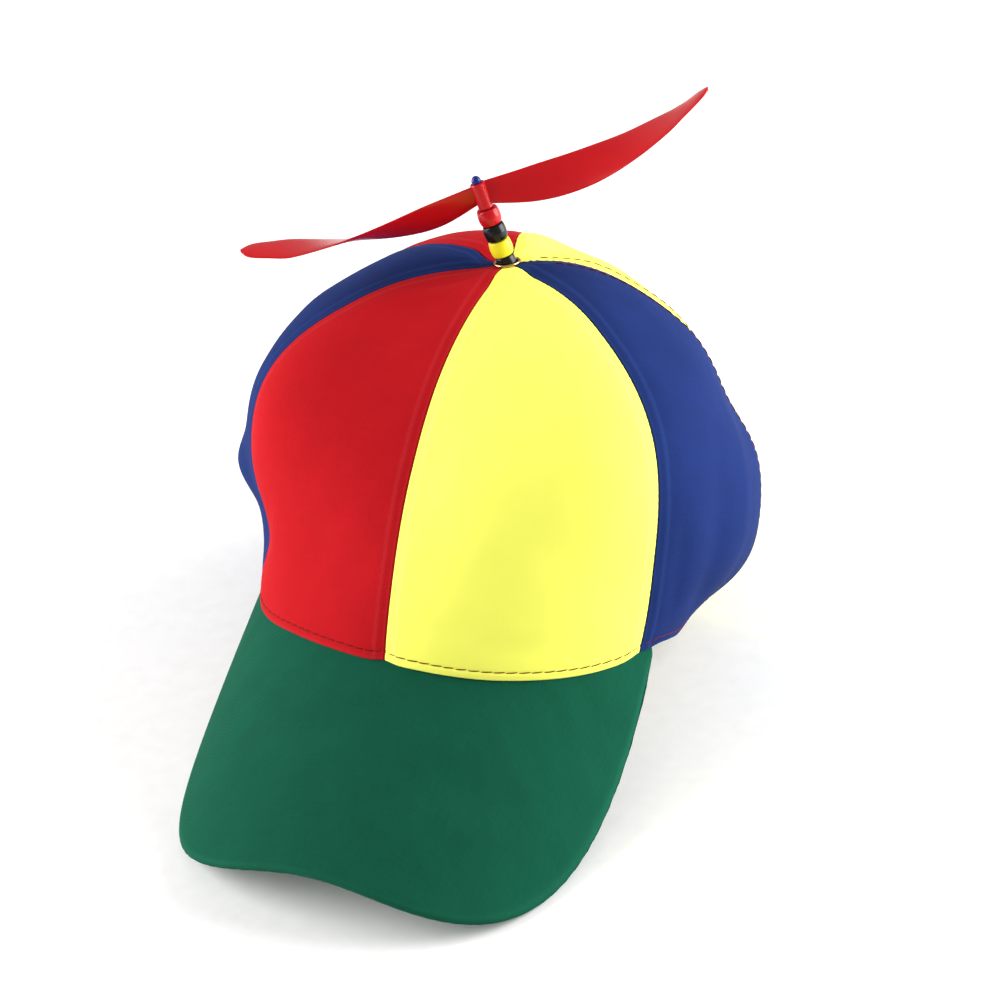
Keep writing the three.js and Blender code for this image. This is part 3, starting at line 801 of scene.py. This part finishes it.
def stitch_row(points, normals, pitch, gap, sink, slant, seed):
    """The corners, faces and thread places of a row of stitches that lies on the cloth."""
    run, places = along_line(points, pitch)
    draw = np.random.default_rng(seed)
    places = places[:-1, None] + np.array([gap / 2, places[1] - places[0] - gap / 2])
    places = places + draw.uniform(-stitch_jitter, stitch_jitter, places.shape)

    def at(where, table):
        return np.stack([np.interp(where, run, table[:, k]) for k in range(3)], axis=-1)

    start, end = at(places[:, 0], points), at(places[:, 1], points)
    normal = at(places.mean(axis=1), normals)
    normal /= np.linalg.norm(normal, axis=1, keepdims=True)
    ahead = end - start
    ahead /= np.linalg.norm(ahead, axis=1, keepdims=True)
    side = np.cross(normal, ahead)
    t = np.linspace(0, 1, stitch_rings + 1)
    bow = np.sin(math.pi * t)
    lift = bow ** 0.6 * thread_thick * stitch_height - sink
    line = start[:, None] + (end - start)[:, None] * t[:, None] + normal[:, None] * lift[:, None]
    line = line + side[:, None] * ((t - 0.5) * slant)[:, None]
    thick = thread_thick / 2 * (stitch_end_thick + stitch_swell * bow ** 0.5)
    turn = np.arange(stitch_sides) * 2 * math.pi / stitch_sides
    around = side[:, None, None] * np.cos(turn)[:, None] + normal[:, None, None] * np.sin(turn)[:, None]
    corners = line[:, :, None] + around * thick[:, None, None]
    count = len(corners)
    place = np.zeros((count, stitch_rings + 1, stitch_sides, 2))
    place[..., 0] = turn / (2 * math.pi) * math.pi * thread_thick
    place[..., 1] = (t * (pitch - gap))[:, None]
    i, j = np.meshgrid(np.arange(stitch_rings), np.arange(stitch_sides), indexing="ij")
    a, b = i * stitch_sides + j, i * stitch_sides + (j + 1) % stitch_sides
    one = np.stack([a, b, b + stitch_sides, a + stitch_sides], axis=-1).reshape(-1, 4).tolist()
    one += [list(range(stitch_sides - 1, -1, -1))]
    one += [list(range(stitch_rings * stitch_sides, (stitch_rings + 1) * stitch_sides))]
    size = (stitch_rings + 1) * stitch_sides
    faces = [[corner + k * size for corner in face] for k in range(count) for face in one]
    return corners.reshape(-1, 3), faces, place.reshape(-1, 2)


def spun_thread(colour):
    """Two-ply polyester sewing thread: a soft gleam and a slanting twist along each stitch."""
    material, tree, shader = finish_of(
        f"sewing_thread_{colour}", Roughness=0.6, IOR=1.5, Specular_IOR_Level=0.1
    )
    place = add(tree, "ShaderNodeUVMap", uv_map="cloth")
    plies = add(
        tree, "ShaderNodeTexWave",
        {"Vector": place.outputs["UV"], "Scale": 2 * math.pi / (10 * ply_pitch * math.sqrt(2)),
         "Distortion": 0.6},
        bands_direction="DIAGONAL",
    )
    dark = [c * ply_shadow for c in linear(thread_colours[colour])[:3]] + [1.0]
    tone = add(
        tree, "ShaderNodeMix",
        {"Factor": plies.outputs["Fac"], 6: dark, 7: linear(thread_colours[colour])}, data_type="RGBA",
    )
    tree.links.new(tone.outputs[2], shader.inputs["Base Color"])
    twist = add(
        tree, "ShaderNodeBump", {"Height": plies.outputs["Fac"], "Strength": 0.6, "Distance": 0.1 * mm}
    )
    tree.links.new(twist.outputs["Normal"], shader.inputs["Normal"])
    return material


def thread_piece(name, rows, colour):
    """One piece of all the rows sewn in one thread."""
    corners, faces, places, base = [], [], [], 0
    for points, row_faces, place in rows:
        corners.append(points)
        faces += [[corner + base for corner in face] for face in row_faces]
        places.append(place)
        base += len(points)
    mesh = bpy.data.meshes.new(name)
    mesh.from_pydata(in_world(np.concatenate(corners)).tolist(), [], faces)
    place = np.concatenate(places)
    corner_of = np.concatenate([np.array(face) for face in faces])
    layer = mesh.uv_layers.new(name="cloth")
    layer.data.foreach_set("uv", place[corner_of].ravel())
    mesh.polygons.foreach_set("use_smooth", [True] * len(mesh.polygons))
    mesh.materials.append(threads[colour])
    piece = link_object(name, mesh)
    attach(piece, "cap")
    return piece


threads = {colour: spun_thread(colour) for colour in thread_colours}
hem_row = hem_steps.index(hem_row_height)
sewing = {colour: [] for colour in threads}
hem_rows = []
for number, (row, panel) in enumerate(zip(panels, sewn)):
    line, normal = panel["front"][hem_row], panel["normal"][hem_row]
    hem_rows.append(
        stitch_row(line, normal, hem_stitch, hem_stitch_gap, hem_stitch_sink, stitch_slant, number)
    )
    first, last = (edge_steps.index(seam["row"]) for seam in seams[number : number + 2])
    for seam, column in ((seams[number], first), (seams[number + 1], -1 - last)):
        wide = panel["from_seam"][:, column] > seam["row"] - row_slack
        high = panel["height"][:, column] > hem_row_height + row_above_hem
        keep = wide & high
        line, normal = panel["front"][keep, column], panel["normal"][keep, column]
        colour = row["cloth"] if seam["thread"] == "cloth" else "dark_red"
        sewing[colour].append(
            stitch_row(line, normal, seam_stitch, seam_stitch_gap, seam["sink"], 0.0, seam_row_seed + number)
        )
thread_piece("hem_stitching", hem_rows, "dark_red")
for colour, rows in sewing.items():
    thread_piece(f"seam_stitching_{colour}", rows, colour)


# The peak: green twill over a bent board, its two halves sewn together at the edge and turned
# right side out, so the edge is a soft roll with a fine seam line, and no stitches show on top.
peak_width = 175.0
peak_thickness = 3.0
peak_corner = 2.95
peak_flare = 30.0
peak_end_depth = 1.5
peak_columns = 170
peak_rows = 56
peak_roll_top = 1.9
peak_roll_under = 1.0
peak_unevenness = 0.16
peak_unevenness_length = 26.0
peak_seed = 40
peak_calm = (1.0, 9.0)
# A paler line inside the peak's rolled edge: partly painted highlight, partly pressing wear
pale_edge = {"strong": 0.35, "off": 1.2, "wide": 0.9}
peak_edge_steps = [0.0, 0.15, 0.35, 0.6, 0.9, 1.3, 1.8, 2.4, 3.2, 4.5]


def peak_edge(share):
    """The peak's outer edge from side to side, in plan: a squared-off oval."""
    end = math.asin((peak_end_depth / peak_reach) ** (peak_corner / 2))
    t = between(end, math.pi - end, share)
    across = -np.sign(np.cos(t)) * np.abs(np.cos(t)) ** (2 / peak_corner)
    forward = peak_reach * np.sin(t) ** (2 / peak_corner)
    half_width = peak_width / 2 + (root_x - peak_width / 2) * np.exp(-forward / peak_flare)
    y = root_y - forward
    return np.stack([peak_middle(y) + across * half_width, y], axis=-1)


def sheet_normal(x, y):
    """The direction straight out of the peak's top face."""
    step = 0.5
    slope_x = (peak_height(x + step, y) - peak_height(x - step, y)) / (2 * step)
    slope_y = (peak_height(x, y + step) - peak_height(x, y - step)) / (2 * step)
    normal = np.stack([-slope_x, -slope_y, np.ones_like(slope_x)], axis=-1)
    return normal / np.linalg.norm(normal, axis=-1, keepdims=True)


def peak_piece():
    """Makes the peak, from its hidden root under the hem to its rolled edge."""
    share = np.linspace(0, 1, peak_columns + 1)
    root_around = between(-peak_root_end, peak_root_end, share)
    root = skin(root_around, rise_where(root_around, cloth_wall, on_peak), cloth_wall)[:, :2]
    edge = peak_edge(share)
    reach = np.linalg.norm(edge - root, axis=1)
    out = np.stack([1 - spaced(total, peak_edge_steps, peak_rows, False) / total for total in reach], axis=1)
    plan = root + (edge - root) * out[..., None]
    outline = peak_edge(np.linspace(0, 1, 900))
    slope = 1 / math.cos(math.radians(peak_droop))
    apart = (plan[:, :, None] - outline[None, None]) * np.array([1.0, slope])
    from_edge = np.sqrt((apart ** 2).sum(axis=-1).min(axis=-1))
    x, y = plan[..., 0], plan[..., 1]
    top = np.stack([x, y, peak_height(x, y)], axis=-1)
    normal = sheet_normal(x, y)
    uneven = peak_unevenness * wavering(x, y * slope, peak_seed, peak_unevenness_length)
    uneven = uneven * smooth(from_edge, *peak_calm)
    upper = top + normal * (uneven - rolled(from_edge, peak_roll_top))[..., None]
    lower = top + normal * (rolled(from_edge, peak_roll_under) - peak_thickness)[..., None]
    # Painted highlight, with some pressing wear, as a paler line inside the rolled edge
    highlight_and_wear = pale_edge["strong"] * dented(from_edge, pale_edge["off"], pale_edge["wide"])
    mesh = closed_shell(
        "peak_cover", in_world(upper[:, ::-1]), in_world(lower[:, ::-1]),
        np.stack([x, y * slope], axis=-1)[:, ::-1], {"highlight_and_wear": highlight_and_wear[:, ::-1]},
    )
    mesh.materials.append(cloths["green"])
    piece = link_object("peak_cover", mesh)
    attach(piece, "cap")
    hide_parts("peak")


peak_piece()


# The eyelet: a thin brass ring pressed through the top of the crown, its lip rolled over the
# cloth and its other end spread into a flange inside.
eyelet_inner = 4.3
eyelet_wall = 0.6
eyelet_lip = 1.0
eyelet_lip_height = 1.2
eyelet_flange = 2.2
eyelet_seat = -1.9
eyelet_foot = -2.7
lip_steps = 12
round_sides = 96


def standing(points, direction):
    """Points of a frame that stands on the crown's top with Z this way, as world points."""
    turn = Vector((0, 0, 1)).rotation_difference(Vector(direction))
    return in_world(points @ np.array(turn.to_matrix()).T + apex)


def weld(mesh, near):
    """Joins points that lie on each other, and turns every face outward."""
    shape = bmesh.new()
    shape.from_mesh(mesh)
    bmesh.ops.remove_doubles(shape, verts=shape.verts, dist=near)
    bmesh.ops.recalc_face_normals(shape, faces=shape.faces)
    shape.to_mesh(mesh)
    shape.free()


def turned_piece(name, profile, body, material, sides=round_sides, direction=pin_direction):
    """A piece turned about an axis at the crown's top, from a closed profile in mm."""
    profile = np.array(profile)
    turn = np.arange(sides) * 2 * math.pi / sides
    radius, height = profile[:, 0][:, None], profile[:, 1][:, None]
    points = np.stack([radius * np.cos(turn), radius * np.sin(turn), height + 0 * turn], axis=-1)
    count = len(profile)
    i, j = np.meshgrid(np.arange(count), np.arange(sides), indexing="ij")
    a, b = i * sides + j, i * sides + (j + 1) % sides
    c, d = (i + 1) % count * sides + (j + 1) % sides, (i + 1) % count * sides + j
    faces = np.stack([a, b, c, d], axis=-1).reshape(-1, 4)
    mesh = bpy.data.meshes.new(name)
    mesh.from_pydata(standing(points.reshape(-1, 3), direction).tolist(), [], faces.tolist())
    weld(mesh, 1e-7)
    smooth_faces(mesh, 40)
    mesh.materials.append(material)
    piece = link_object(name, mesh)
    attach(piece, body)
    return piece


def arc(middle, radii, start, end, steps):
    """Points on an oval arc, in degrees, of radius and height."""
    turn = np.radians(np.linspace(start, end, steps + 1))
    return [(middle[0] + radii[0] * math.cos(t), middle[1] + radii[1] * math.sin(t)) for t in turn]


def rolled_brass():
    """Thin brass sheet, rolled and lightly tarnished: warm and bright, with faint scuffs."""
    material, tree, shader = finish_of("rolled_brass", Metallic=1.0, Roughness=0.24)
    place = add(tree, "ShaderNodeTexCoord")
    scuffs = add(
        tree, "ShaderNodeTexNoise", {"Vector": place.outputs["Object"], "Scale": 1600.0, "Detail": 4.0}
    )
    tarnish = add(
        tree, "ShaderNodeTexNoise", {"Vector": place.outputs["Object"], "Scale": 320.0, "Detail": 3.0}
    )
    tone = add(
        tree, "ShaderNodeMix",
        {"Factor": tarnish.outputs["Fac"], 6: linear("E6C796"), 7: linear("A97F4E")}, data_type="RGBA",
    )
    tree.links.new(tone.outputs[2], shader.inputs["Base Color"])
    rough = add(tree, "ShaderNodeMapRange", {"Value": scuffs.outputs["Fac"], "To Min": 0.12, "To Max": 0.4})
    tree.links.new(rough.outputs["Result"], shader.inputs["Roughness"])
    wear = add(
        tree, "ShaderNodeBump", {"Height": scuffs.outputs["Fac"], "Strength": 0.15, "Distance": 0.05 * mm}
    )
    tree.links.new(wear.outputs["Normal"], shader.inputs["Normal"])
    return material


eyelet_outer = eyelet_inner + eyelet_wall
lip_middle = (eyelet_inner + eyelet_lip / 2, eyelet_lip_height - eyelet_lip / 2)
eyelet_profile = [
    (eyelet_inner, eyelet_foot),
    (eyelet_outer + eyelet_flange, eyelet_foot),
    (eyelet_outer + eyelet_flange, eyelet_seat),
    (eyelet_outer, eyelet_seat),
    (eyelet_outer, lip_middle[1] - 0.3),
    *arc(lip_middle, (eyelet_lip / 2, eyelet_lip / 2), -25, 180, lip_steps),
]
eyelet = turned_piece("eyelet_ring", eyelet_profile, "cap", rolled_brass(), direction=eyelet_direction)
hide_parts("eyelet")


# The beads: four barrel-shaped pony beads of glossy polystyrene on the pin, each with rounded
# faces, a straight bore and a hair-fine mould line round its middle. The lowest sits in the eyelet.
bead_tall = 6.4
bead_squareness = 0.65
bead_bore = 3.6
bead_edge = 0.5
mould_line = 0.05
mould_line_reach = 0.05
bead_steps = 40
bead_edge_steps = 5
plastic_roughness = 0.24
plastic_colours = {
    "red": ("C21119", "B40E15"),
    "yellow": ("F6EA34", "E8D420"),
    "black": ("161618", "0C0C0E"),
    "blue": ("1E2C84", "16205C"),
}


def moulded_polystyrene(colour):
    """Injection-moulded polystyrene: a clean gloss that dulls a little where the melt cooled,
    with faint flow streaks in the colour."""
    material, tree, shader = finish_of(
        f"moulded_polystyrene_{colour}", Roughness=plastic_roughness, IOR=1.59, Specular_IOR_Level=0.2,
        Subsurface_Weight=0.12, Subsurface_Radius=(1.0, 0.4, 0.3), Subsurface_Scale=0.6 * mm,
    )
    clear, dense = (linear(code) for code in plastic_colours[colour])
    place = add(tree, "ShaderNodeTexCoord")
    drawn = add(tree, "ShaderNodeMapping", {"Vector": place.outputs["Object"], "Scale": (60.0, 60.0, 220.0)})
    flow = add(tree, "ShaderNodeTexNoise", {"Vector": drawn.outputs["Vector"], "Scale": 1.0, "Detail": 3.0})
    tone = add(
        tree, "ShaderNodeMix", {"Factor": flow.outputs["Fac"], 6: clear, 7: dense}, data_type="RGBA"
    )
    tree.links.new(tone.outputs[2], shader.inputs["Base Color"])
    haze = add(
        tree, "ShaderNodeTexNoise", {"Vector": place.outputs["Object"], "Scale": 180.0, "Detail": 4.0}
    )
    rough = add(
        tree, "ShaderNodeMapRange",
        {"Value": haze.outputs["Fac"], "To Min": plastic_roughness * 0.85, "To Max": plastic_roughness * 1.2},
    )
    tree.links.new(rough.outputs["Result"], shader.inputs["Roughness"])
    ripple = add(
        tree, "ShaderNodeBump", {"Height": flow.outputs["Fac"], "Strength": 0.06, "Distance": 0.05 * mm}
    )
    tree.links.new(ripple.outputs["Normal"], shader.inputs["Normal"])
    return material


plastics = {colour: moulded_polystyrene(colour) for colour in plastic_colours}


def place_on_pin(node):
    """How high the middle of a node on the pin is above the cloth, in mm."""
    low, high = (np.array(corner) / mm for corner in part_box(node))
    middle = ((low + high) / 2 - hem_middle) @ tip_matrix - apex
    return float(middle @ pin_direction)


def bead_profile(middle, wide, face):
    """A bead's outline: up its outside, over its top edge, and down its bore."""
    half_tall, bore = bead_tall / 2, bead_bore / 2
    outside = []
    for turn in np.linspace(-math.pi / 2, math.pi / 2, bead_steps + 1):
        roundness = max(math.cos(turn), 0.0) ** bead_squareness
        line = mould_line * math.exp(-((turn / mould_line_reach) ** 2))
        radius = (face + (wide - face) * roundness) / 2 + line
        outside.append((radius, middle + half_tall * math.sin(turn)))
    place, round_edge = bore + bead_edge, (bead_edge, bead_edge)
    top = arc((place, middle + half_tall - bead_edge), round_edge, 90, 180, bead_edge_steps)
    low = arc((place, middle - half_tall + bead_edge), round_edge, 180, 270, bead_edge_steps)
    return outside + top + low


beads = [
    {"node": "bead_black_lower", "plastic": "black", "wide": 7.6, "face": 5.6},
    {"node": "bead_yellow", "plastic": "yellow", "wide": 8.8, "face": 6.6},
    {"node": "bead_black_upper", "plastic": "black", "wide": 8.8, "face": 6.6},
    {"node": "bead_red", "plastic": "red", "wide": 8.8, "face": 6.6},
]
for row in beads:
    profile = bead_profile(place_on_pin(row["node"]), row["wide"], row["face"])
    bead = turned_piece(row["node"] + "_moulded", profile, "cap", plastics[row["plastic"]])
    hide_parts(row["node"])


# The pin: one blue moulding with a round head above the propeller, a shaft through the beads
# and a disc inside the crown that keeps it from pulling out.
pin_wide = 3.0
pin_head_wide = 3.8
pin_head_tall = 2.6
pin_head_edge = 0.3
pin_foot_wide = 12.0
pin_foot_thick = 2.0
pin_foot_edge = 0.4
pin_foot_drop = 1.7
pin_sides = 48
hub_tall = 10.3

low_middle = place_on_pin("bead_black_lower")
red_middle = place_on_pin("bead_red")
hub_low = red_middle + bead_tall / 2 + touch
hub_high = hub_low + hub_tall
foot_high = low_middle - bead_tall / 2 - touch - pin_foot_drop
head_low = hub_high + touch
pin_profile = [
    (0.0, foot_high - pin_foot_thick),
    (pin_foot_wide / 2 - pin_foot_edge, foot_high - pin_foot_thick),
    *arc((pin_foot_wide / 2 - pin_foot_edge, foot_high - pin_foot_thick / 2),
         (pin_foot_edge, pin_foot_thick / 2), -80, 80, 8),
    (pin_foot_wide / 2 - pin_foot_edge, foot_high),
    *arc((pin_wide / 2 + pin_head_edge, foot_high + pin_head_edge),
         (pin_head_edge, pin_head_edge), 270, 180, 4),
    (pin_wide / 2, head_low - 0.1),
    (pin_head_wide / 2 - pin_head_edge, head_low),
    *arc((0.0, head_low + pin_head_edge), (pin_head_wide / 2, pin_head_tall - pin_head_edge), -4, 90, 14),
]
pin = turned_piece("pin_moulded", pin_profile, "cap", plastics["blue"], pin_sides)
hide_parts("pin")


# The propeller: one red polystyrene moulding, a short tube with two twisted blades that are
# thick along the middle and thin at the edges. It spins loosely on the pin.
blade_length = 93.0
blade_width = 21.0
blade_thickness = 1.5
blade_edge = 0.7
blade_turn = 24.7
hub_wide = 5.8
hub_bore = 3.6
hub_lip = 0.25
hub_sides = 64
bore_past_hub = 1.0
bore_lip = 0.1
blade_above_hub = 6.1
blade_columns = 16
blade_rows = 110
blade_sections = [
    {"out": 0.0, "width": 0.4, "twist": 72, "rise": 0.0, "sweep": 0.0},
    {"out": 0.2, "width": 0.64, "twist": 64, "rise": -0.03, "sweep": -0.004},
    {"out": 0.4, "width": 0.79, "twist": 41, "rise": -0.035, "sweep": -0.012},
    {"out": 0.6, "width": 0.93, "twist": 18, "rise": -0.014, "sweep": -0.014},
    {"out": 0.8, "width": 1.0, "twist": 1.5, "rise": 0.031, "sweep": 0.0},
    {"out": 0.9, "width": 0.74, "twist": -3, "rise": 0.064, "sweep": 0.013},
    {"out": 0.95, "width": 0.62, "twist": -4, "rise": 0.083, "sweep": 0.024},
    {"out": 0.98, "width": 0.43, "twist": -4.6, "rise": 0.094, "sweep": 0.031},
    {"out": 1.0, "width": 0.1, "twist": -5, "rise": 0.102, "sweep": 0.035},
]


def blade_points(side, way):
    """One face of one blade, in the pin's frame, on a grid of rows out along it."""
    out = np.linspace(0, 1, blade_rows + 1)[:, None]
    across = -np.cos(np.linspace(0, math.pi, blade_columns + 1))[None, :]
    outs = [row["out"] for row in blade_sections]
    column = {
        name: through(out, outs, [np.full_like(out, row[name]) for row in blade_sections])
        for name in ("width", "twist", "rise", "sweep")
    }
    twist = np.radians(column["twist"])
    wide = across * blade_width / 2 * column["width"]
    swell = np.sqrt(np.maximum(1 - across ** 8, 0.0))
    thick = side / 2 * (blade_edge + (blade_thickness - blade_edge) * (1 - across * across)) * swell
    x = blade_length * out + 0 * across
    y = blade_length * column["sweep"] + wide * np.cos(twist) - thick * np.sin(twist)
    z = blade_length * column["rise"] + wide * np.sin(twist) + thick * np.cos(twist)
    turn = math.radians(blade_turn) + way
    return np.stack(
        [x * math.cos(turn) - y * math.sin(turn), x * math.sin(turn) + y * math.cos(turn),
         z + hub_low + blade_above_hub], axis=-1,
    )


def blade_piece(name, way):
    """One blade as a closed solid, turned this way round the pin."""
    front, back = blade_points(1, way), blade_points(-1, way)
    place = np.zeros(front.shape[:2] + (2,))
    mesh = closed_shell(name, standing(front, pin_direction), standing(back, pin_direction), place)
    weld(mesh, 1e-6)
    return link_object(name, mesh)


def joined_with(piece, other, how):
    """Joins or cuts one solid with another, and takes the other away."""
    change = piece.modifiers.new(how, "BOOLEAN")
    change.operation = how
    change.solver = "EXACT"
    change.object = other
    graph = bpy.context.evaluated_depsgraph_get()
    mesh = bpy.data.meshes.new_from_object(piece.evaluated_get(graph))
    piece.modifiers.clear()
    piece.data = mesh
    bpy.data.objects.remove(other)


def hub_tube(name, radius, low, high, lip):
    """A round bar along the pin with lightly broken edges, for the hub and for its bore."""
    profile = [
        (0.0, low), (radius - lip, low), (radius, low + lip),
        (radius, high - lip), (radius - lip, high), (0.0, high),
    ]
    return turned_piece(name, profile, "propeller", plastics["red"], hub_sides)


blades = blade_piece("propeller_moulded", 0.0)
joined_with(blades, blade_piece("second_blade", math.pi), "UNION")
joined_with(blades, hub_tube("hub", hub_wide / 2, hub_low, hub_high, hub_lip), "UNION")
bore = hub_tube("bore", hub_bore / 2, hub_low - bore_past_hub, hub_high + bore_past_hub, bore_lip)
joined_with(blades, bore, "DIFFERENCE")
blades.data.materials.clear()
blades.data.materials.append(plastics["red"])
smooth_faces(blades.data, 40)
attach(blades, "propeller")
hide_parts("propeller")
